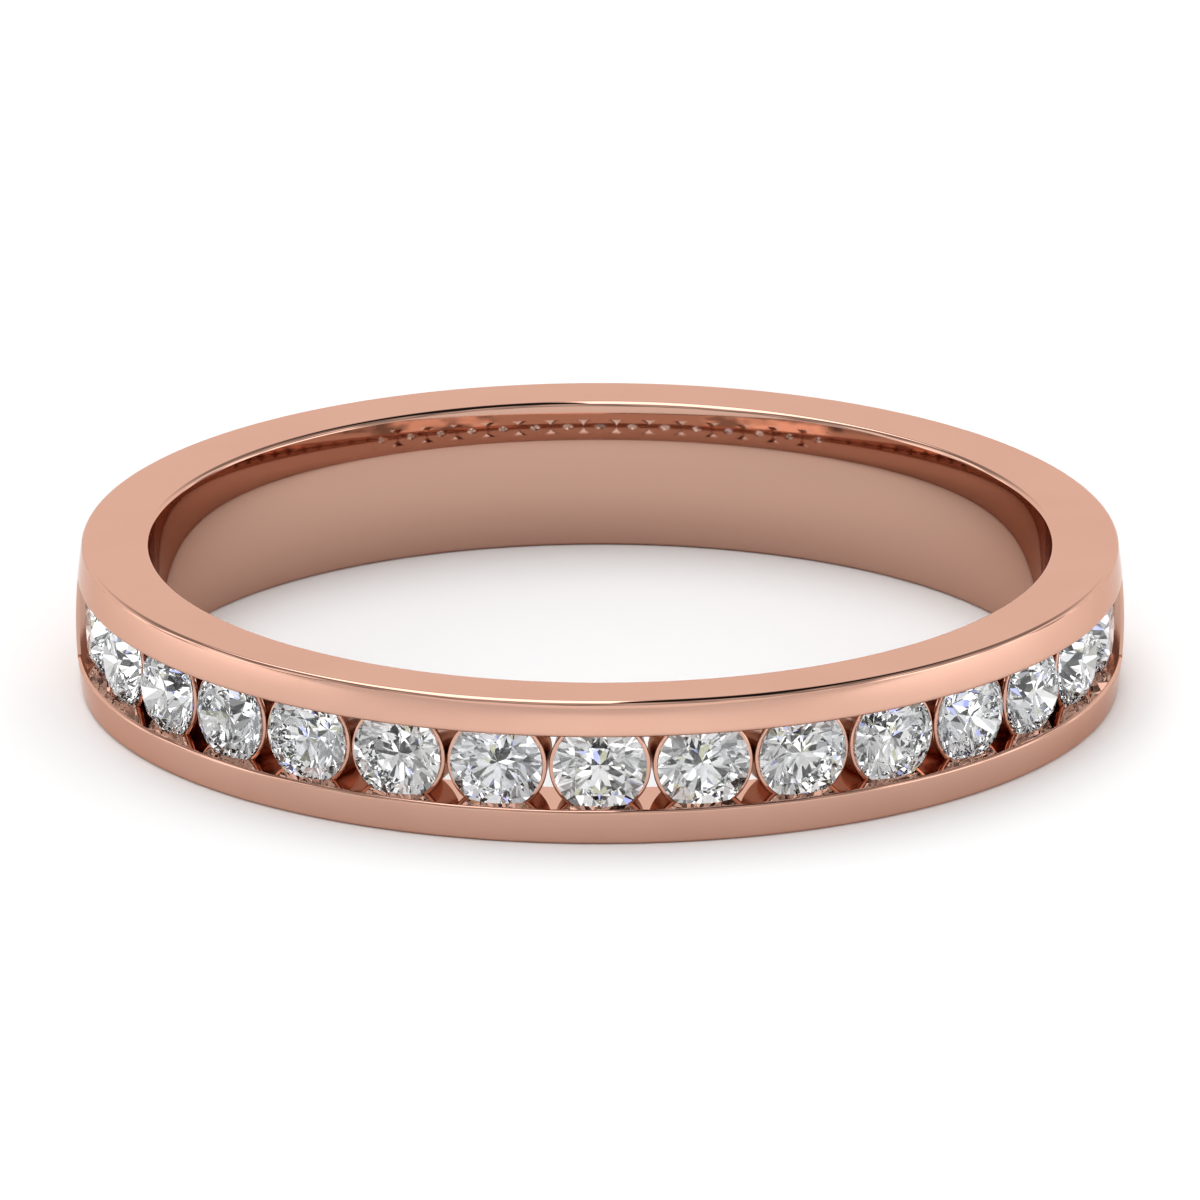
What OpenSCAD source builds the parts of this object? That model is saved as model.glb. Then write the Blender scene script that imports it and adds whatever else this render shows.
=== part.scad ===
// Channel-set half-eternity wedding band: a solid shank, two channel rails, a row of collets and a
// row of round brilliants. All sizes are in millimetres.
// The ring lies flat: +Z runs along its axis, the base is at z = 0 and the stones face -Y.

/* [Band] */
// Height of the band along the ring's axis
band_w = 2.92; // [2.4:0.02:5]
// Smallest inside radius, at mid-height (half the finger size)
inner_r = 8.65; // [7.5:0.05:11]
// Thickness of the band at mid-height
wall = 1.55; // [1.35:0.05:1.7]
// How far the outside drops back at its edges
outer_drop = 0.12; // [0.04:0.01:0.3]
// How far the comfort-fit inside opens out at its edges
inner_drop = 0.14; // [0.04:0.01:0.3]
// Radius that softens the four long edges
edge_r = 0.10; // [0.04:0.01:0.2]

/* [Stones] */
// Number of stones in the row
stones = 15; // [3:2:25]
// Diameter of a stone
stone_d = 1.83; // [1.4:0.01:2]
// Clear gap between neighbours at the girdle
stone_gap = 0.20; // [0.2:0.005:0.4]
// Depth of the girdles below the outside of the band
girdle_depth = 0.50; // [0.45:0.01:0.7]
// Table diameter as a share of the stone's
table_share = 0.57; // [0.5:0.01:0.65]
// Slope of the crown's main facets
crown_angle = 34.5; // [31:0.1:38]
// Slope of the pavilion's main facets
pavilion_angle = 40.8; // [39:0.1:43]
// Thickness of the girdle where the main facets meet it
girdle_h = 0.058; // [0.05:0.002:0.07]
// Reach of the star facets from table to girdle
star_share = 0.5; // [0.4:0.01:0.6]
// Reach of the lower halves from girdle to culet
lower_share = 0.78; // [0.65:0.01:0.85]

/* [Setting] */
// How far a stone's edge tucks under each rail
tuck = 0.17; // [0.08:0.01:0.2]
// Angle from the last stone's centre to the end of the channel
end_margin = 4.0; // [2.5:0.1:6]
// Radius that softens the lips of the channel
lip_r = 0.07; // [0.03:0.01:0.12]
// How far a collet's rim stands out past the stone
rim_out = 0.08; // [0.04:0.005:0.08]
// Height of the bead round a collet's rim
bead_h = 0.15; // [0.1:0.01:0.2]
// How far a collet's wall steps in below the bead
bead_step = 0.05; // [0.04:0.005:0.06]
// How much the wall narrows, on each side, from the bead to the finger
collet_taper = 0.055; // [0.045:0.005:0.1]
// Depth of the rims below the girdles
rim_drop = 0.04; // [0.04:0.01:0.09]
// Diameter of the hole under the culet
culet_hole_d = 0.60; // [0.45:0.02:1]
// Setting clearance round each stone
seat_gap = 0.004; // [0.002:0.001:0.01]

/* [Hidden] */
$fn = 180;
rose_gold = [0.86, 0.66, 0.57];
rose_gold_worn = [0.82, 0.60, 0.50];
diamond_white = [0.92, 0.95, 0.97];

// The outside and the inside of the band are arcs in section
mid = band_w / 2;
outer_r = inner_r + wall;
outer_arc = (mid * mid + outer_drop * outer_drop) / (2 * outer_drop);
inner_arc = (mid * mid + inner_drop * inner_drop) / (2 * inner_drop);
outer_arc_x = outer_r - outer_arc;
inner_arc_x = inner_r + inner_arc;

// A rounding meets its two faces at a slight angle, so that no two surfaces are tangent
ease = cos(6);

// The row of stones and the channel that holds it
girdle_at = outer_r - girdle_depth;
pitch = 2 * asin((stone_d + stone_gap) / 2 / girdle_at);
channel_w = stone_d - 2 * tuck;
channel_half = (stones - 1) / 2 * pitch + end_margin;
rail_h = (band_w - channel_w) / 2;

// One stone, with its girdle plane at z = 0 and its table up
mains = 8;
arc_steps = 4;
ring_points = 2 * mains * arc_steps;
girdle_r = stone_d / 2;
half_girdle = girdle_h / 2;
table_r = girdle_r * table_share;
star_r = table_r * cos(22.5) + star_share * (girdle_r - table_r * cos(22.5));
lower_r = (1 - lower_share) * girdle_r;
table_z = half_girdle + (girdle_r - table_r) * tan(crown_angle);
star_z = half_girdle + (girdle_r - star_r * cos(22.5)) * tan(crown_angle);
lower_z = -half_girdle - (girdle_r - lower_r * cos(22.5)) * tan(pavilion_angle);
culet_z = -half_girdle - girdle_r * tan(pavilion_angle);

// Slopes of the half facets, which run from the girdle to a star or a lower junction
half_chord = girdle_r * cos(11.25);
upper_slope = (star_z - half_girdle) / (half_chord - star_r * cos(11.25));
lower_slope = (-half_girdle - lower_z) / (half_chord - lower_r * cos(11.25));

// Collet section, in the stone's frame: the seat follows the pavilion's own outline
rim_z = -rim_drop;
rim_r = girdle_r + rim_out;
neck_z = rim_z - bead_h;
neck_r = rim_r - bead_step;
end_z = inner_r - girdle_at - 0.3;
hole_r = culet_hole_d / 2;
seat_slope = (-half_girdle - lower_z) / (girdle_r - lower_r);
taper = collet_taper / (girdle_at + neck_z - inner_r);

function seat_z(r) = -half_girdle - seat_gap - (girdle_r - r) * seat_slope;
function seat_r(z) = girdle_r + (z + half_girdle + seat_gap) / seat_slope;
function wall_r(z) = neck_r + (z - neck_z) * taper;
function stone_angle(k) = (k - (stones - 1) / 2) * pitch;
function two_digits(n) = n < 10 ? str("0", n) : str(n);
function collet_name(k) = str("collet_", two_digits(k + 1));
function diamond_name(k) = str("diamond_", two_digits(k + 1));

// ---- band section ----

// The corner left over when a circle of radius r at point c rounds off the wedge between two directions
module corner(c, r, along_1, along_2) {
    reach = 3 * r;
    difference() {
        polygon([
            c,
            c + reach * along_1,
            c + reach * (along_1 + along_2),
            c + reach * along_2
        ]);
        translate(c)
            circle(r);
    }
}

// Rounds the edge between the outside arc and a level face at height z; side is -1 for a face below
module outer_corner(z, r, side) {
    cz = z - side * r * ease;
    cx = sqrt(pow(outer_arc - r * ease, 2) - pow(cz - mid, 2));
    c = [outer_arc_x + cx, cz];
    corner(c, r, [0, side], [cx, cz - mid] / (outer_arc - r * ease));
}

// The same on the inside arc
module inner_corner(z, r, side) {
    cz = z - side * r * ease;
    cx = sqrt(pow(inner_arc - r * ease, 2) - pow(cz - mid, 2));
    c = [inner_arc_x - cx, cz];
    corner(c, r, [0, side], [-cx, cz - mid] / (inner_arc - r * ease));
}

// Section of the solid part of the band
module band_section() {
    difference() {
        intersection() {
            translate([inner_r - 1, 0])
                square([outer_r - inner_r + 2, band_w]);
            translate([outer_arc_x, mid])
                circle(outer_arc);
            translate([inner_arc_x, mid])
                circle(inner_arc);
        }
        outer_corner(0, edge_r, -1);
        outer_corner(band_w, edge_r, 1);
        inner_corner(0, edge_r, -1);
        inner_corner(band_w, edge_r, 1);
    }
}

// Section of the lower rail, with the channel's wall on top
module rail_section() {
    difference() {
        intersection() {
            translate([inner_r - 1, 0])
                square([outer_r - inner_r + 2, rail_h]);
            translate([outer_arc_x, mid])
                circle(outer_arc);
            translate([inner_arc_x, mid])
                circle(inner_arc);
        }
        outer_corner(0, edge_r, -1);
        outer_corner(rail_h, lip_r, 1);
        inner_corner(0, edge_r, -1);
    }
}

// Everything inside the comfort-fit surface
module finger_hole() {
    rotate_extrude()
        difference() {
            square([inner_r + 1, band_w]);
            translate([inner_arc_x, mid])
                circle(inner_arc);
        }
}

// Sweeps a section round the ring from one angle to another, measured from the front towards +X
module sweep(from_angle, to_angle) {
    rotate([0, 0, from_angle - 90])
        rotate_extrude(angle = to_angle - from_angle)
            children();
}

// ---- settings ----

// Puts a piece drawn in a stone's own frame at place k in the row
module at_stone(k) {
    rotate([0, 0, stone_angle(k)])
        translate([0, -girdle_at, mid])
            rotate([90, 0, 0])
                children();
}

// What place k takes out of the metal round it: the collet's outside, then the stone's bearing
module setting_cut(k) {
    at_stone(k)
        rotate_extrude()
            polygon([
                [0, end_z],
                [wall_r(end_z), end_z],
                [neck_r, neck_z],
                [rim_r, neck_z + bead_step],
                [rim_r, rim_z],
                [seat_r(rim_z), rim_z],
                [girdle_r + seat_gap, -half_girdle - seat_gap],
                [girdle_r + seat_gap, half_girdle + seat_gap],
                [star_r + seat_gap, star_z + seat_gap],
                [table_r + seat_gap, table_z + seat_gap],
                [0, table_z + seat_gap]
            ]);
}

// Softens the lip of a channel end, on the side of the ring that turn points to (1 or -1)
module end_lip(turn) {
    reach = asin(channel_w / 2 / outer_arc);
    rotate([0, 0, turn * channel_half])
        translate([0, -outer_arc_x, mid])
            rotate([0, -90 * turn, 0])
                rotate([0, 0, -90 - reach])
                    rotate_extrude(angle = 2 * reach)
                        mirror([0, 1])
                            end_lip_section();
}

// Section of that lip: x is the distance from the outside arc's centre, y the depth into the shank
module end_lip_section() {
    c = [outer_arc - lip_r * ease, lip_r * ease];
    corner(c, lip_r, [1, 0], [0, -1]);
}

// ---- the pieces ----

module shank() {
    color(rose_gold)
        difference() {
            sweep(channel_half, 360 - channel_half)
                band_section();
            setting_cut(0);
            setting_cut(stones - 1);
            end_lip(1);
            end_lip(-1);
        }
}

module lower_rail() {
    color(rose_gold)
        difference() {
            sweep(-channel_half, channel_half)
                rail_section();
            for (k = [0 : stones - 1])
                setting_cut(k);
        }
}

module upper_rail() {
    color(rose_gold)
        difference() {
            sweep(-channel_half, channel_half)
                translate([0, band_w])
                    mirror([0, 1])
                        rail_section();
            for (k = [0 : stones - 1])
                setting_cut(k);
        }
}

module collet(k) {
    color(rose_gold_worn)
        difference() {
            at_stone(k)
                rotate_extrude()
                    polygon([
                        [hole_r, end_z],
                        [wall_r(end_z), end_z],
                        [neck_r, neck_z],
                        [rim_r, neck_z + bead_step],
                        [rim_r, rim_z],
                        [seat_r(rim_z), rim_z],
                        [hole_r, seat_z(hole_r)]
                    ]);
            finger_hole();
        }
}

// Angle of point i of the girdle, and how far its edge sits back from the ends of its half facet
function ring_angle(i) = i * 360 / ring_points;
function ring_drop(i) =
    girdle_r * cos(11.25 - ring_angle(i % arc_steps)) - half_chord;
function ring(z_end, slope) = [
    for (i = [0 : ring_points - 1])
        [girdle_r * cos(ring_angle(i)), girdle_r * sin(ring_angle(i)), z_end - slope * ring_drop(i)]
];
function eight(r, z, first) = [
    for (i = [0 : mains - 1])
        [r * cos(first + 45 * i), r * sin(first + 45 * i), z]
];

// A round brilliant with a table, stars, crown mains, upper halves, girdle, lower halves and pavilion mains
module brilliant() {
    points = concat(
        eight(table_r, table_z, 0),
        eight(star_r, star_z, 22.5),
        ring(half_girdle, upper_slope),
        ring(-half_girdle, -lower_slope),
        eight(lower_r, lower_z, 22.5),
        [[0, 0, culet_z]]
    );
    stars = mains;
    crown = 2 * mains;
    pavilion = crown + ring_points;
    junctions = pavilion + ring_points;
    culet = junctions + mains;
    step = ring_points / mains;
    halves = [for (i = [0 : mains - 1]) for (side = [0, 1]) [i, i * step + side * arc_steps]];
    faces = concat(
        [[for (i = [mains - 1 : -1 : 0]) i]],
        [for (i = [0 : mains - 1]) [i, (i + 1) % mains, stars + i]],
        [for (i = [0 : mains - 1])
            [i, stars + i, crown + i * step, stars + (i + mains - 1) % mains]],
        [for (h = halves)
            concat([stars + h[0]], [for (j = [arc_steps : -1 : 0]) crown + (h[1] + j) % ring_points])],
        [for (i = [0 : ring_points - 1])
            [crown + i, crown + (i + 1) % ring_points, pavilion + (i + 1) % ring_points, pavilion + i]],
        [for (h = halves)
            concat([junctions + h[0]], [for (j = [0 : arc_steps]) pavilion + (h[1] + j) % ring_points])],
        [for (i = [0 : mains - 1])
            [pavilion + i * step, junctions + i, culet, junctions + (i + mains - 1) % mains]]
    );
    polyhedron(points, faces);
}

module diamond(k) {
    color(diamond_white)
        at_stone(k)
            brilliant();
}

shank();
upper_rail();
lower_rail();
for (k = [0 : stones - 1]) collet(k);
for (k = [0 : stones - 1]) diamond(k);
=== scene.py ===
"""Looks of a channel-set half-eternity band: polished rose gold, a row of collets and round brilliants.

Shapes are drawn in millimetres and scaled to metres once, when a piece is finished.
Angles round the ring are in degrees from the front (-Y) towards +X.
"""

import math
import random

import bmesh
import bpy
from mathutils import Matrix, Vector


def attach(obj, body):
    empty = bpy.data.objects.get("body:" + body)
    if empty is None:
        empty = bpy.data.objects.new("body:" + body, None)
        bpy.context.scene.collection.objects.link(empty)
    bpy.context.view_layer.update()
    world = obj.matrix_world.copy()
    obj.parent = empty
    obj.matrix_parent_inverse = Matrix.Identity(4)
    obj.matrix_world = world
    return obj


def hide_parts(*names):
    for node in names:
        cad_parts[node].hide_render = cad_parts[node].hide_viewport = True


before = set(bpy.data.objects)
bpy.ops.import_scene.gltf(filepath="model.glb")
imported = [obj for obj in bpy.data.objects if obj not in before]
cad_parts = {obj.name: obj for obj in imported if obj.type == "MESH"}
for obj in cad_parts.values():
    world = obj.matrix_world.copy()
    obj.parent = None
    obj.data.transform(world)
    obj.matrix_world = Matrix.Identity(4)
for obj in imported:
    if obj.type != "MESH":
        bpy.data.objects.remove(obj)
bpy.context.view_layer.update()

MM = 0.001

# ---- driving dimensions, as in the CAD design ----

BAND_W = 2.92
INNER_R = 8.65
WALL = 1.55
OUTER_DROP = 0.12
INNER_DROP = 0.14
EDGE_R = 0.10

STONES = 15
STONE_D = 1.83
STONE_GAP = 0.20
GIRDLE_DEPTH = 0.50
TABLE_SHARE = 0.57
CROWN_ANGLE = 34.5
PAVILION_ANGLE = 40.8
GIRDLE_H = 0.058
STAR_SHARE = 0.5
LOWER_SHARE = 0.78

TUCK = 0.17
END_MARGIN = 4.0
LIP_R = 0.07
RIM_OUT = 0.08
RIM_DROP = 0.04
RIM_SOFT = 0.04
BEAD_H = 0.15
BEAD_STEP = 0.05
COLLET_TAPER = 0.055
CULET_HOLE_D = 0.60
SEAT_GAP = 0.004
FOOT_PAST = 0.1

# ---- derived dimensions ----

MID = BAND_W / 2
OUTER_R = INNER_R + WALL
OUTER_ARC = (MID**2 + OUTER_DROP**2) / (2 * OUTER_DROP)
INNER_ARC = (MID**2 + INNER_DROP**2) / (2 * INNER_DROP)
OUTER_ARC_X = OUTER_R - OUTER_ARC
INNER_ARC_X = INNER_R + INNER_ARC

GIRDLE_AT = OUTER_R - GIRDLE_DEPTH
GIRDLE_R = STONE_D / 2
PITCH = 2 * math.degrees(math.asin((STONE_D + STONE_GAP) / 2 / GIRDLE_AT))
CHANNEL_W = STONE_D - 2 * TUCK
CHANNEL_HALF = (STONES - 1) / 2 * PITCH + END_MARGIN
RAIL_H = (BAND_W - CHANNEL_W) / 2

RIM_Z = -RIM_DROP
RIM_R = GIRDLE_R + RIM_OUT
NECK_Z = RIM_Z - BEAD_H
FOOT_Z = INNER_R - GIRDLE_AT - FOOT_PAST
NECK_R = RIM_R - BEAD_STEP
TAPER = COLLET_TAPER / (GIRDLE_AT + NECK_Z - INNER_R)

SWEEP_STEP = 1.0
LATHE_STEPS = 96
FILLET_STEPS = 8
ARC_STEPS = 14
LIP_STEPS = 12
FOOT_STEPS = 6
SHARP_ANGLE = 32


def cos(degrees):
    return math.cos(math.radians(degrees))


def sin(degrees):
    return math.sin(math.radians(degrees))


def tan(degrees):
    return math.tan(math.radians(degrees))


# ---- one brilliant, with its girdle plane at z = 0 and its table up ----

MAINS = 8
TURN = 360 / MAINS
GIRDLE_STEPS = 4
HALF_GIRDLE = GIRDLE_H / 2
TABLE_R = GIRDLE_R * TABLE_SHARE
STAR_R = TABLE_R * cos(TURN / 2) + STAR_SHARE * (GIRDLE_R - TABLE_R * cos(TURN / 2))
LOWER_R = (1 - LOWER_SHARE) * GIRDLE_R
TABLE_Z = HALF_GIRDLE + (GIRDLE_R - TABLE_R) * tan(CROWN_ANGLE)
STAR_Z = HALF_GIRDLE + (GIRDLE_R - STAR_R * cos(TURN / 2)) * tan(CROWN_ANGLE)
LOWER_Z = -HALF_GIRDLE - (GIRDLE_R - LOWER_R * cos(TURN / 2)) * tan(PAVILION_ANGLE)
CULET_Z = -HALF_GIRDLE - GIRDLE_R * tan(PAVILION_ANGLE)
HALF_CHORD = GIRDLE_R * cos(TURN / 4)
UPPER_SLOPE = (STAR_Z - HALF_GIRDLE) / (HALF_CHORD - STAR_R * cos(TURN / 4))
LOWER_SLOPE = (-HALF_GIRDLE - LOWER_Z) / (HALF_CHORD - LOWER_R * cos(TURN / 4))
SEAT_SLOPE = (-HALF_GIRDLE - LOWER_Z) / (GIRDLE_R - LOWER_R)


def seat_z(r):
    return -HALF_GIRDLE - SEAT_GAP - (GIRDLE_R - r) * SEAT_SLOPE


def seat_r(z):
    return GIRDLE_R + (z + HALF_GIRDLE + SEAT_GAP) / SEAT_SLOPE


def wall_r(z):
    return NECK_R + (z - NECK_Z) * TAPER


def stone_angle(k):
    return (k - (STONES - 1) / 2) * PITCH


def at_stone(k):
    """Matrix from a stone's own frame to its place k in the row."""
    turn = Matrix.Rotation(math.radians(stone_angle(k)), 4, "Z")
    out = Matrix.Translation((0, -GIRDLE_AT, MID))
    return turn @ out @ Matrix.Rotation(math.radians(90), 4, "X")


# ---- mesh tools ----


def new_mesh(name, points, faces):
    mesh = bpy.data.meshes.new(name)
    mesh.from_pydata(points, [], faces)
    mesh.validate()
    bm = bmesh.new()
    bm.from_mesh(mesh)
    bmesh.ops.remove_doubles(bm, verts=bm.verts, dist=1e-6)
    bmesh.ops.recalc_face_normals(bm, faces=bm.faces)
    bm.to_mesh(mesh)
    bm.free()
    return mesh


def turned(name, outline, start, end, steps, place=None):
    """The closed solid that an outline of (r, z) points sweeps about Z, from angle start to angle end."""
    whole = end - start >= 360
    rows = steps if whole else steps + 1
    points = []
    for i in range(rows):
        angle = start + (end - start) * i / steps
        points += [Vector((r * sin(angle), -r * cos(angle), z)) for r, z in outline]
    count = len(outline)
    faces = []
    for i in range(steps):
        here = i * count
        there = (i + 1) % rows * count
        for j in range(count):
            k = (j + 1) % count
            faces.append((here + j, there + j, there + k, here + k))
    if not whole:
        faces.append(tuple(range(count)))
        faces.append(tuple(range((rows - 1) * count, rows * count)))
    if place is not None:
        points = [place @ p for p in points]
    return new_mesh(name, points, faces)


def joined(name, meshes):
    bm = bmesh.new()
    for mesh in meshes:
        bm.from_mesh(mesh)
    out = bpy.data.meshes.new(name)
    bm.to_mesh(out)
    bm.free()
    return out


def modified(mesh, add_modifiers):
    """The mesh with modifiers applied; add_modifiers puts them on a temporary object."""
    piece = bpy.data.objects.new(mesh.name, mesh)
    bpy.context.scene.collection.objects.link(piece)
    add_modifiers(piece)
    graph = bpy.context.evaluated_depsgraph_get()
    out = bpy.data.meshes.new_from_object(piece.evaluated_get(graph))
    bpy.data.objects.remove(piece)
    return out


def cut(mesh, tools):
    """The solid with the tools' solids taken out of it; the tools don't overlap each other."""
    tool = bpy.data.objects.new("tool", joined("tool", tools))
    bpy.context.scene.collection.objects.link(tool)

    def add(piece):
        boolean = piece.modifiers.new("cut", "BOOLEAN")
        boolean.operation = "DIFFERENCE"
        boolean.solver = "MANIFOLD"
        boolean.object = tool

    out = modified(mesh, add)
    bpy.data.objects.remove(tool)
    return out


def smoothed(mesh):
    """Smooth shading that keeps flats flat and edges over SHARP_ANGLE crisp."""
    for face in mesh.polygons:
        face.use_smooth = True
    mesh.set_sharp_from_angle(angle=math.radians(SHARP_ANGLE))

    def add(piece):
        weighted = piece.modifiers.new("flats", "WEIGHTED_NORMAL")
        weighted.mode = "FACE_AREA"
        weighted.weight = 50
        weighted.keep_sharp = True

    return modified(mesh, add)


def marked(mesh, name, test):
    """Adds a face attribute that holds what the test says of each face's centre and normal."""
    values = mesh.attributes.new(name, "FLOAT", "FACE").data
    for face in mesh.polygons:
        values[face.index].value = float(test(face.center, face.normal))


def finish_piece(name, mesh, material, slot, node):
    """Scales a mesh to metres and hangs it on the frame in place of its CAD node.

    The stones are lit by the studio alone: no metal shows through them, so they stay white.
    """
    mesh.transform(Matrix.Scale(MM, 4))
    mesh.name = name
    mesh.materials.clear()
    mesh.materials.append(material)
    piece = bpy.data.objects.new(name, mesh)
    piece.visible_transmission = slot == "diamond"
    bpy.context.scene.collection.objects.link(piece)
    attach(piece, "root")
    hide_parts(node)
    return piece


# ---- sections of the band, as closed outlines of (r, z) ----


def arc(centre, radius, start, end, steps):
    """Points on an arc in the (r, z) plane; angle 0 points away from the ring's axis and 90 up."""
    points = []
    for i in range(steps + 1):
        angle = start + (end - start) * i / steps
        points.append((centre[0] + radius * cos(angle), centre[1] + radius * sin(angle)))
    return points


def outer_corner(z, radius, side):
    """Rounding between the outside arc and a level face at z; side is 1 for a face on top, -1 below."""
    cz = z - side * radius
    angle = math.degrees(math.asin((cz - MID) / (OUTER_ARC - radius)))
    centre = (OUTER_ARC_X + (OUTER_ARC - radius) * cos(angle), cz)
    return arc(centre, radius, angle, side * 90, FILLET_STEPS), angle


def inner_corner(z, radius, side):
    """The same on the inside arc, from the level face round to the arc."""
    cz = z - side * radius
    angle = math.degrees(math.asin((cz - MID) / (INNER_ARC - radius)))
    centre = (INNER_ARC_X - (INNER_ARC - radius) * cos(angle), cz)
    return arc(centre, radius, side * 90, side * 180 - angle, FILLET_STEPS), angle


def band_outline():
    """Section of the solid part of the band, anticlockwise from the foot of the outside arc."""
    foot, foot_angle = outer_corner(0, EDGE_R, -1)
    head, head_angle = outer_corner(BAND_W, EDGE_R, 1)
    outside = arc((OUTER_ARC_X, MID), OUTER_ARC, foot_angle, head_angle, ARC_STEPS)
    in_head, in_angle = inner_corner(BAND_W, EDGE_R, 1)
    in_foot, _ = inner_corner(0, EDGE_R, -1)
    inside = arc((INNER_ARC_X, MID), INNER_ARC, 180 - in_angle, 180 + in_angle, ARC_STEPS)
    return outside + head[1:] + in_head + inside[1:-1] + in_foot[::-1] + foot[::-1][:-1]


def rail_outline():
    """Section of the lower rail, with the channel's wall on top."""
    foot, foot_angle = outer_corner(0, EDGE_R, -1)
    lip, lip_angle = outer_corner(RAIL_H, LIP_R, 1)
    outside = arc((OUTER_ARC_X, MID), OUTER_ARC, foot_angle, lip_angle, ARC_STEPS // 2)
    in_foot, in_angle = inner_corner(0, EDGE_R, -1)
    wall_angle = -math.degrees(math.asin((RAIL_H - MID) / INNER_ARC))
    inside = arc((INNER_ARC_X, MID), INNER_ARC, 180 + wall_angle, 180 - in_angle, ARC_STEPS // 2)
    return outside + lip[1:] + inside[:-1] + in_foot[::-1] + foot[::-1][:-1]


# ---- cutters ----


def setting_tool(k):
    """What place k takes out of the metal round it: the collet's outside, then the stone's bearing."""
    outline = [
        (0, FOOT_Z),
        (wall_r(FOOT_Z), FOOT_Z),
        (NECK_R, NECK_Z),
        (RIM_R, NECK_Z + BEAD_STEP),
        (RIM_R, RIM_Z),
        (seat_r(RIM_Z), RIM_Z),
        (GIRDLE_R + SEAT_GAP, -HALF_GIRDLE - SEAT_GAP),
        (GIRDLE_R + SEAT_GAP, HALF_GIRDLE + SEAT_GAP),
        (STAR_R + SEAT_GAP, STAR_Z + SEAT_GAP),
        (TABLE_R + SEAT_GAP, TABLE_Z + SEAT_GAP),
        (0, TABLE_Z + SEAT_GAP),
    ]
    return turned("setting", outline, 0, 360, LATHE_STEPS, at_stone(k))


def lip_tool(side):
    """What softens the lip at one end of the channel; side is 1 towards +X, -1 towards -X."""
    reach = math.degrees(math.asin(CHANNEL_W / 2 / OUTER_ARC))
    low = OUTER_ARC - LIP_R
    high = OUTER_ARC + LIP_R
    outline = arc((low, LIP_R), LIP_R, 0, -90, FILLET_STEPS)
    outline += [(low, -LIP_R), (high, -LIP_R), (high, LIP_R)]
    outline = [(r, -depth) for r, depth in outline]
    turn = Matrix.Rotation(math.radians(side * CHANNEL_HALF), 4, "Z")
    out = Matrix.Translation((0, -OUTER_ARC_X, MID))
    stand = Matrix.Rotation(math.radians(-90 * side), 4, "Y")
    return turned("lip", outline, -reach, reach, LIP_STEPS, turn @ out @ stand)


# ---- the pieces ----


def on_fit(middle, normal):
    """Whether a face is on the comfort-fit surface, whose gold is darkened as painted shade."""
    out = middle.xy.normalized()
    return normal.xy.dot(out) < -0.9 and middle.xy.length < INNER_R + INNER_DROP + EDGE_R / 2


def on_channel_end(middle, normal):
    """Half on the faces of the channel's two end walls, which get painted shade (a darker gold) and more
    roughness.
    """
    turn = abs(math.degrees(math.atan2(middle.x, -middle.y)))
    inside = turn < CHANNEL_HALF + 0.5 and abs(middle.z - MID) < CHANNEL_W / 2
    return 0.5 if inside and normal.xy.length > 0.9 else 0.0


def make_shank(material):
    steps = round((360 - 2 * CHANNEL_HALF) / SWEEP_STEP)
    body = turned("shank", band_outline(), CHANNEL_HALF, 360 - CHANNEL_HALF, steps)
    tools = [setting_tool(0), setting_tool(STONES - 1), lip_tool(1), lip_tool(-1)]
    for tool in tools:
        body = cut(body, [tool])
    body = smoothed(body)
    # Painted shade on the comfort-fit inside of the ring.
    marked(body, "fit", on_fit)
    # Painted shade at half strength on the channel's end walls, with more roughness.
    marked(body, "painted_shade_dull", on_channel_end)
    finish_piece("band_shank", body, material, "rose_gold_band", "shank")


def make_rail(name, outline, material):
    steps = round(2 * CHANNEL_HALF / SWEEP_STEP)
    body = turned(name, outline, -CHANNEL_HALF, CHANNEL_HALF, steps)
    body = smoothed(cut(body, [setting_tool(k) for k in range(STONES)]))
    # Painted shade on the comfort-fit inside of the ring.
    marked(body, "fit", on_fit)
    finish_piece("band_" + name, body, material, "rose_gold_band", name)


def finger_z(x, y):
    """Height of the comfort-fit surface in a stone's frame, under the point (x, y)."""
    radius = INNER_ARC_X - math.sqrt(INNER_ARC**2 - y**2)
    return math.sqrt(radius**2 - x**2) - GIRDLE_AT


def collet_points(angle):
    """One side of a collet, from its foot to the hole, up the seat, over the bead and down the wall."""
    hole = CULET_HOLE_D / 2
    rim_in = seat_r(RIM_Z)
    foot_r = wall_r(finger_z(NECK_R * cos(angle), NECK_R * sin(angle)))
    bead = [(rim_in, RIM_Z)]
    for turn in (90, 60, 30, 0):
        bead.append((RIM_R + RIM_SOFT * (cos(turn) - 1), RIM_Z + RIM_SOFT * (sin(turn) - 1)))
    bead += [(RIM_R, NECK_Z + 2 * BEAD_STEP), (RIM_R - BEAD_STEP * 0.3, NECK_Z + BEAD_STEP * 1.3)]
    bead.append((NECK_R, NECK_Z + BEAD_STEP))
    side = []
    for i in range(FOOT_STEPS + 1):
        r = hole + (foot_r - hole) * (1 - i / FOOT_STEPS)
        side.append((r, finger_z(r * cos(angle), r * sin(angle))))
    side += [(hole, seat_z(hole)), (rim_in - RIM_SOFT / 3, seat_z(rim_in - RIM_SOFT / 3))] + bead
    side.append((wall_r(NECK_Z - BEAD_H), NECK_Z - BEAD_H))
    return [Vector((r * cos(angle), r * sin(angle), z)) for r, z in side]


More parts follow.
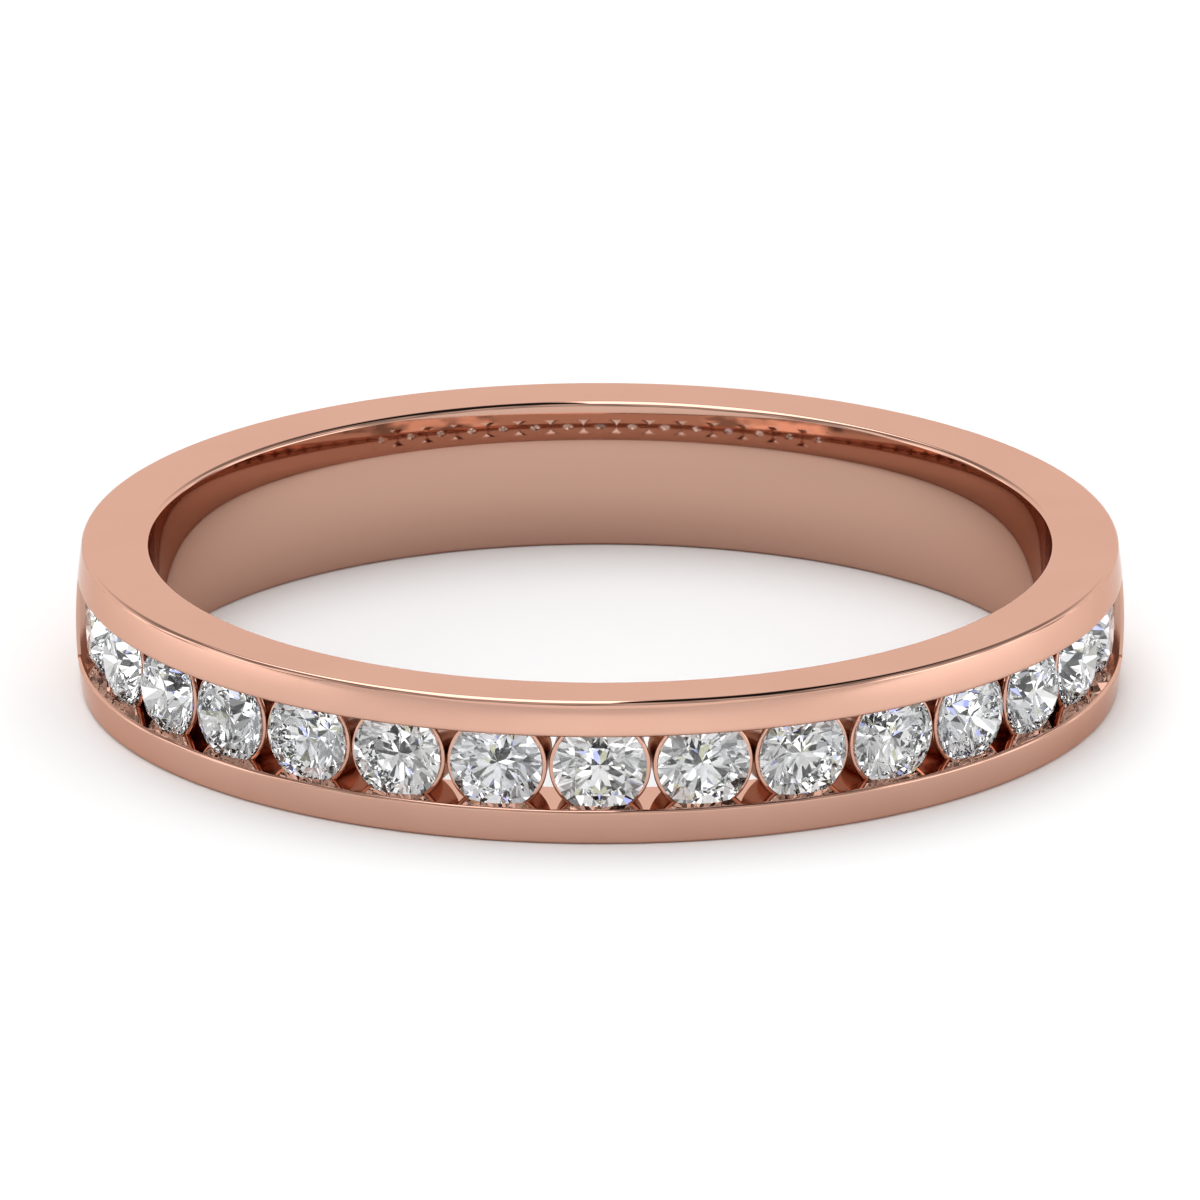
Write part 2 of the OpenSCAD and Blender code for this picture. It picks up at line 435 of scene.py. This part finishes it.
def make_collet(k, material):
    rows = [collet_points(i * 360 / LATHE_STEPS) for i in range(LATHE_STEPS)]
    count = len(rows[0])
    place = at_stone(k)
    points = [place @ p for row in rows for p in row]
    faces = []
    for i in range(LATHE_STEPS):
        here = i * count
        there = (i + 1) % LATHE_STEPS * count
        for j in range(count):
            n = (j + 1) % count
            faces.append((here + j, there + j, there + n, here + n))
    mesh = smoothed(new_mesh("collet", points, faces))
    to_stone = place.inverted()

    # The collet's wall below the bead gets painted shade (a darker gold) and more roughness.
    def on_wall(middle, normal):
        spot = to_stone @ middle
        return spot.z < NECK_Z and spot.xy.length > NECK_R - COLLET_TAPER - 0.01

    marked(mesh, "painted_shade_dull", on_wall)
    # Painted shade where the collet's foot lies on the comfort-fit surface.
    marked(mesh, "fit", on_fit)
    number = f"{k + 1:02d}"
    finish_piece("cup_" + number, mesh, material, "rose_gold_collet", "collet_" + number)


def eight(radius, z, first):
    """Corners of the brilliant on one level, evenly spaced from the angle first."""
    angles = [first + TURN * i for i in range(MAINS)]
    return [Vector((radius * cos(angle), radius * sin(angle), z)) for angle in angles]


def girdle_ring(z, slope):
    """One edge of the girdle: each half facet meets the round girdle in a shallow scallop."""
    points = []
    for i in range(2 * MAINS * GIRDLE_STEPS):
        angle = i * TURN / 2 / GIRDLE_STEPS
        drop = GIRDLE_R * cos(TURN / 4 - angle % (TURN / 2)) - HALF_CHORD
        points.append(Vector((GIRDLE_R * cos(angle), GIRDLE_R * sin(angle), z - slope * drop)))
    return points


def make_diamond(k, material, turn):
    """A round brilliant: table, stars, crown mains, upper halves, girdle, lower halves and mains."""
    points = (
        eight(TABLE_R, TABLE_Z, 0)
        + eight(STAR_R, STAR_Z, TURN / 2)
        + girdle_ring(HALF_GIRDLE, UPPER_SLOPE)
        + girdle_ring(-HALF_GIRDLE, -LOWER_SLOPE)
        + eight(LOWER_R, LOWER_Z, TURN / 2)
        + [Vector((0, 0, CULET_Z))]
    )
    ring = 2 * MAINS * GIRDLE_STEPS
    step = ring // MAINS
    stars = MAINS
    crown = 2 * MAINS
    pavilion = crown + ring
    lowers = pavilion + ring
    culet = lowers + MAINS
    faces = [tuple(range(MAINS))]
    for i in range(MAINS):
        before = (i - 1) % MAINS
        faces.append((i, stars + i, (i + 1) % MAINS))
        faces.append((i, stars + before, crown + i * step, stars + i))
        faces.append((pavilion + i * step, lowers + before, culet, lowers + i))
        for half in range(2):
            first = i * step + half * GIRDLE_STEPS
            run = [(first + j) % ring for j in range(GIRDLE_STEPS + 1)]
            faces.append((stars + i, *(crown + j for j in run)))
            faces.append((lowers + i, *(pavilion + j for j in run)))
    for i in range(ring):
        n = (i + 1) % ring
        faces.append((crown + i, crown + n, pavilion + n, pavilion + i))
    place = at_stone(k) @ Matrix.Rotation(turn, 4, "Z")
    mesh = new_mesh("diamond", [place @ p for p in points], faces)
    number = f"{k + 1:02d}"
    finish_piece("brilliant_" + number, mesh, material, "diamond", "diamond_" + number)


# ---- node helpers ----

WHITE = (1.0, 1.0, 1.0, 1.0)


class Nodes:
    """Short names for building a node tree."""

    def __init__(self, tree):
        self.tree = tree
        self.tree.nodes.clear()

    def add(self, kind, **settings):
        node = self.tree.nodes.new(kind)
        for name, value in settings.items():
            setattr(node, name, value)
        return node

    def put(self, socket, value):
        if isinstance(value, bpy.types.NodeSocket):
            self.tree.links.new(value, socket)
        else:
            socket.default_value = value

    def math(self, operation, a, b=0.0):
        node = self.add("ShaderNodeMath", operation=operation)
        self.put(node.inputs[0], a)
        self.put(node.inputs[1], b)
        return node.outputs[0]

    def ramp(self, value, low, high, start=0.0, end=1.0):
        """Smooth step from start to end while value goes from low to high."""
        node = self.add("ShaderNodeMapRange", interpolation_type="SMOOTHSTEP")
        self.put(node.inputs["Value"], value)
        node.inputs["From Min"].default_value = low
        node.inputs["From Max"].default_value = high
        node.inputs["To Min"].default_value = start
        node.inputs["To Max"].default_value = end
        return node.outputs["Result"]

    def between(self, value, low, high, soft):
        """1 between low and high, falling to 0 over a soft edge."""
        rise = self.ramp(value, low - soft, low + soft)
        fall = self.ramp(value, high - soft, high + soft, 1.0, 0.0)
        return self.math("MULTIPLY", rise, fall)

    def blend(self, factor, a, b):
        """The number a where factor is 0 and b where it is 1."""
        node = self.add("ShaderNodeMix", data_type="FLOAT")
        self.put(node.inputs[0], factor)
        self.put(node.inputs[2], a)
        self.put(node.inputs[3], b)
        return node.outputs[0]

    def colours(self, factor, a, b):
        """The colour a where factor is 0 and b where it is 1."""
        node = self.add("ShaderNodeMix", data_type="RGBA")
        self.put(node.inputs[0], factor)
        self.put(node.inputs[6], a)
        self.put(node.inputs[7], b)
        return node.outputs[2]

    def noise(self, vector, scale, detail=2.0):
        node = self.add("ShaderNodeTexNoise")
        self.put(node.inputs["Vector"], vector)
        node.inputs["Scale"].default_value = scale
        node.inputs["Detail"].default_value = detail
        return node.outputs["Fac"]


# ---- materials ----

GOLD_LIGHT = (0.644, 0.380, 0.290, 1.0)
GOLD_DEEP = (0.624, 0.362, 0.276, 1.0)
GOLD_EDGE = (0.84, 0.70, 0.64, 1.0)
# Painted shade: a darker gold for the collets' walls below the bead and for the channel's end walls.
PAINTED_RECESS_SHADE = (0.52, 0.34, 0.275, 1.0)
# Painted shade: a darker gold for the comfort-fit inside of the ring.
PAINTED_FIT_SHADE = (0.555, 0.335, 0.256, 1.0)
COLLET_EDGE = (0.45, 0.30, 0.24, 1.0)
RECESS_ROUGHNESS = 0.2

DIAMOND_WARM = (0.66, 0.66, 0.65, 1.0)
DIAMOND_COOL = (0.65, 0.66, 0.68, 1.0)
DIAMOND_SHINE = (0.45, 0.45, 0.45, 1.0)
DIAMOND_IOR = 2.417
PAPER = (0.9, 0.9, 0.9, 1.0)


def rose_gold(name, gloss, edge):
    """Polished rose gold: faintly cloudy from the buff, with painted shade inside the ring and in the
    recesses, which are also rougher.
    """
    material = bpy.data.materials.new(name)
    material.use_nodes = True
    n = Nodes(material.node_tree)
    place = n.add("ShaderNodeTexCoord").outputs["Object"]
    painted_shade_dull = n.add("ShaderNodeAttribute", attribute_name="painted_shade_dull").outputs["Fac"]
    fit = n.add("ShaderNodeAttribute", attribute_name="fit").outputs["Fac"]
    cloud = n.ramp(n.noise(place, 450.0), 0.3, 0.7)
    colour = n.colours(cloud, GOLD_LIGHT, GOLD_DEEP)
    # Painted shade: the comfort-fit inside of the ring is darkened.
    colour = n.colours(fit, colour, PAINTED_FIT_SHADE)
    # Painted shade: the collets' lower walls and the channel's end walls are darkened; they are also made
    # rougher.
    colour = n.colours(painted_shade_dull, colour, PAINTED_RECESS_SHADE)
    haze = n.ramp(n.noise(place, 1400.0, 3.0), 0.25, 0.75, gloss, gloss * 1.8)
    shader = n.add("ShaderNodeBsdfPrincipled")
    shader.inputs["Metallic"].default_value = 1.0
    shader.inputs["Specular Tint"].default_value = edge
    n.put(shader.inputs["Base Color"], colour)
    n.put(shader.inputs["Roughness"], n.blend(painted_shade_dull, haze, RECESS_ROUGHNESS))
    out = n.add("ShaderNodeOutputMaterial")
    n.put(out.inputs["Surface"], shader.outputs[0])
    return material


def diamond():
    """Clear diamond with the faintest body tints, as melee has, and a weakened outer reflection."""
    material = bpy.data.materials.new("diamond")
    material.use_nodes = True
    n = Nodes(material.node_tree)
    place = n.add("ShaderNodeTexCoord").outputs["Object"]
    shader = n.add("ShaderNodeBsdfPrincipled")
    tint = n.ramp(n.noise(place, 900.0), 0.4, 0.6)
    n.put(shader.inputs["Base Color"], n.colours(tint, DIAMOND_WARM, DIAMOND_COOL))
    shader.inputs["Roughness"].default_value = 0.0
    shader.inputs["IOR"].default_value = DIAMOND_IOR
    shader.inputs["Specular Tint"].default_value = DIAMOND_SHINE
    shader.inputs["Transmission Weight"].default_value = 1.0
    out = n.add("ShaderNodeOutputMaterial")
    n.put(out.inputs["Surface"], shader.outputs[0])
    return material


def paper():
    material = bpy.data.materials.new("paper")
    material.use_nodes = True
    n = Nodes(material.node_tree)
    shader = n.add("ShaderNodeBsdfDiffuse")
    shader.inputs["Color"].default_value = PAPER
    out = n.add("ShaderNodeOutputMaterial")
    n.put(out.inputs["Surface"], shader.outputs[0])
    return material


# ---- studio ----

WALL_LIGHT = 1.17
CEILING_LIGHT = 0.34
LEFT_LIGHT = 2.0
RIGHT_LIGHT = 2.6
LAMP_LIGHT = 3.0
FLAG_LIGHT = 0.02
BLUE_GLINT = (0.45, 0.5, 1.0, 1.0)
YELLOW_GLINT = (0.42, 0.42, 0.30, 1.0)


def side_walls(n, way, x, y, z):
    """Where the soft walls of light left and right stand, and how bright they are."""
    across = n.math("MAXIMUM", n.math("ABSOLUTE", x), 0.001)
    rise = n.math("DIVIDE", z, across)
    back = n.math("DIVIDE", y, across)
    place = n.math("MULTIPLY", n.between(back, -0.5, 0.75, 0.12), n.ramp(rise, 0.75, 1.0, 1.0, 0.0))
    light = n.blend(n.ramp(x, -0.5, 0.5), LEFT_LIGHT, RIGHT_LIGHT)
    return place, n.math("MULTIPLY", light, n.ramp(n.noise(way, 3.0), 0.4, 0.6, 0.25, 1.0))


def overhead(n, x, y, z):
    """Where the lamp and the black flag beside it hang, on one level plane over the ring."""
    height = n.math("MAXIMUM", z, 0.001)
    over_x = n.math("DIVIDE", x, height)
    deep = n.between(n.math("DIVIDE", y, height), -0.38, 1.12, 0.06)
    lamp = n.math("MULTIPLY", deep, n.between(over_x, -0.46, 0.04, 0.02))
    flag = n.math("MULTIPLY", deep, n.between(over_x, 0.04, 0.5, 0.02))
    return lamp, flag


def studio_light():
    """A white room, with a dim screen high in front and light and dark cards under the horizon.

    The paper hides the cards from everything but the stones, which get their sparkle from them.
    """
    world = bpy.data.worlds.new("studio")
    bpy.context.scene.world = world
    world.use_nodes = True
    n = Nodes(world.node_tree)
    way = n.add("ShaderNodeTexCoord").outputs["Generated"]
    parts = n.add("ShaderNodeSeparateXYZ")
    n.put(parts.inputs[0], way)
    x, y, z = parts.outputs
    light = n.ramp(z, 0.33, 0.60, WALL_LIGHT, CEILING_LIGHT)

    cells = n.add("ShaderNodeTexVoronoi")
    n.put(cells.inputs["Vector"], way)
    cells.inputs["Scale"].default_value = 12.0
    pick = n.add("ShaderNodeSeparateColor")
    n.put(pick.inputs[0], cells.outputs["Color"])
    red, green, blue = pick.outputs
    cards = n.ramp(red, 0.38, 0.80, 0.0, 2.0)
    screen = n.ramp(n.noise(way, 6.0, 0.0), 0.38, 0.62, 0.28, 0.85)
    below = n.ramp(z, -0.03, -0.01, 1.0, 0.0)
    front = n.math("MULTIPLY", n.ramp(y, -0.25, -0.1, 1.0, 0.0), n.ramp(z, 0.12, 0.2))
    light = n.blend(front, light, screen)
    light = n.blend(below, light, cards)
    walls, wall_light = side_walls(n, way, x, y, z)
    light = n.blend(walls, light, wall_light)
    lamp, flag = overhead(n, x, y, z)
    light = n.blend(lamp, light, LAMP_LIGHT)
    light = n.blend(flag, light, FLAG_LIGHT)

    tint = n.colours(n.ramp(green, 0.90, 0.91), WHITE, BLUE_GLINT)
    tint = n.colours(n.ramp(blue, 0.84, 0.86), tint, YELLOW_GLINT)
    shader = n.add("ShaderNodeBackground")
    n.put(shader.inputs["Color"], n.colours(below, WHITE, tint))
    n.put(shader.inputs["Strength"], light)
    out = n.add("ShaderNodeOutputWorld")
    n.put(out.inputs["Surface"], shader.outputs[0])


def floor_lamp(name, place, size, turn, light):
    """A soft lamp facing down that lights only the paper; light is its brightness."""
    lamp = bpy.data.lights.new(name, "AREA")
    lamp.shape = "RECTANGLE"
    lamp.size, lamp.size_y = size
    lamp.energy = light * math.pi * size[0] * size[1]
    piece = bpy.data.objects.new(name, lamp)
    piece.location = place
    piece.rotation_euler = (0, 0, math.radians(turn))
    piece.visible_camera = False
    piece.visible_glossy = False
    piece.visible_transmission = False
    bpy.context.scene.collection.objects.link(piece)


def floor_lamps():
    """The paper is lit from above and behind, and again out to either side and in front of the ring."""
    floor_lamp("overhead", place=(0.04, 0.055, 0.15), size=(0.08, 0.225), turn=0, light=1.35)
    floor_lamp("right", place=(0.055, -0.002, 0.012), size=(0.06, 0.04), turn=30, light=1.0)
    floor_lamp("left", place=(-0.058, 0.002, 0.012), size=(0.06, 0.045), turn=-30, light=1.05)
    floor_lamp("front", place=(0, -0.045, 0.012), size=(0.034, 0.05), turn=0, light=0.42)


def make_floor():
    half = 0.4
    corners = [(-half, -half, 0), (half, -half, 0), (half, half, 0), (-half, half, 0)]
    floor = bpy.data.objects.new("floor", new_mesh("floor", corners, [(0, 1, 2, 3)]))
    floor.data.materials.append(paper())
    floor.visible_transmission = False
    bpy.context.scene.collection.objects.link(floor)


def make_camera():
    """Far enough off to be drawn without perspective, level from left to right."""
    elevation = 18.0
    distance = 0.2
    frame_width = 0.023346
    look_at = Vector((0.0, 0.0, 0.001732))
    camera = bpy.data.objects.new("camera", bpy.data.cameras.new("camera"))
    camera.data.type = "ORTHO"
    camera.data.ortho_scale = frame_width
    camera.data.clip_start = 0.001
    camera.data.clip_end = 2.0
    camera.location = look_at + distance * Vector((0, -cos(elevation), sin(elevation)))
    camera.rotation_euler = (math.radians(90 - elevation), 0, 0)
    bpy.context.scene.collection.objects.link(camera)
    bpy.context.scene.camera = camera


def settings():
    scene = bpy.context.scene
    scene.view_settings.view_transform = "Standard"
    scene.cycles.max_bounces = 24
    scene.cycles.transmission_bounces = 24
    scene.cycles.glossy_bounces = 12


def main():
    random.seed(7)
    band_gold = rose_gold("rose_gold_band", 0.025, GOLD_EDGE)
    collet_gold = rose_gold("rose_gold_collet", 0.035, COLLET_EDGE)
    stone = diamond()
    make_shank(band_gold)
    lower = rail_outline()
    upper = [(r, BAND_W - z) for r, z in lower]
    make_rail("lower_rail", lower, band_gold)
    make_rail("upper_rail", upper, band_gold)
    for k in range(STONES):
        make_collet(k, collet_gold)
        make_diamond(k, stone, random.uniform(0, math.radians(TURN)))
    make_floor()
    studio_light()
    floor_lamps()
    make_camera()
    settings()


main()
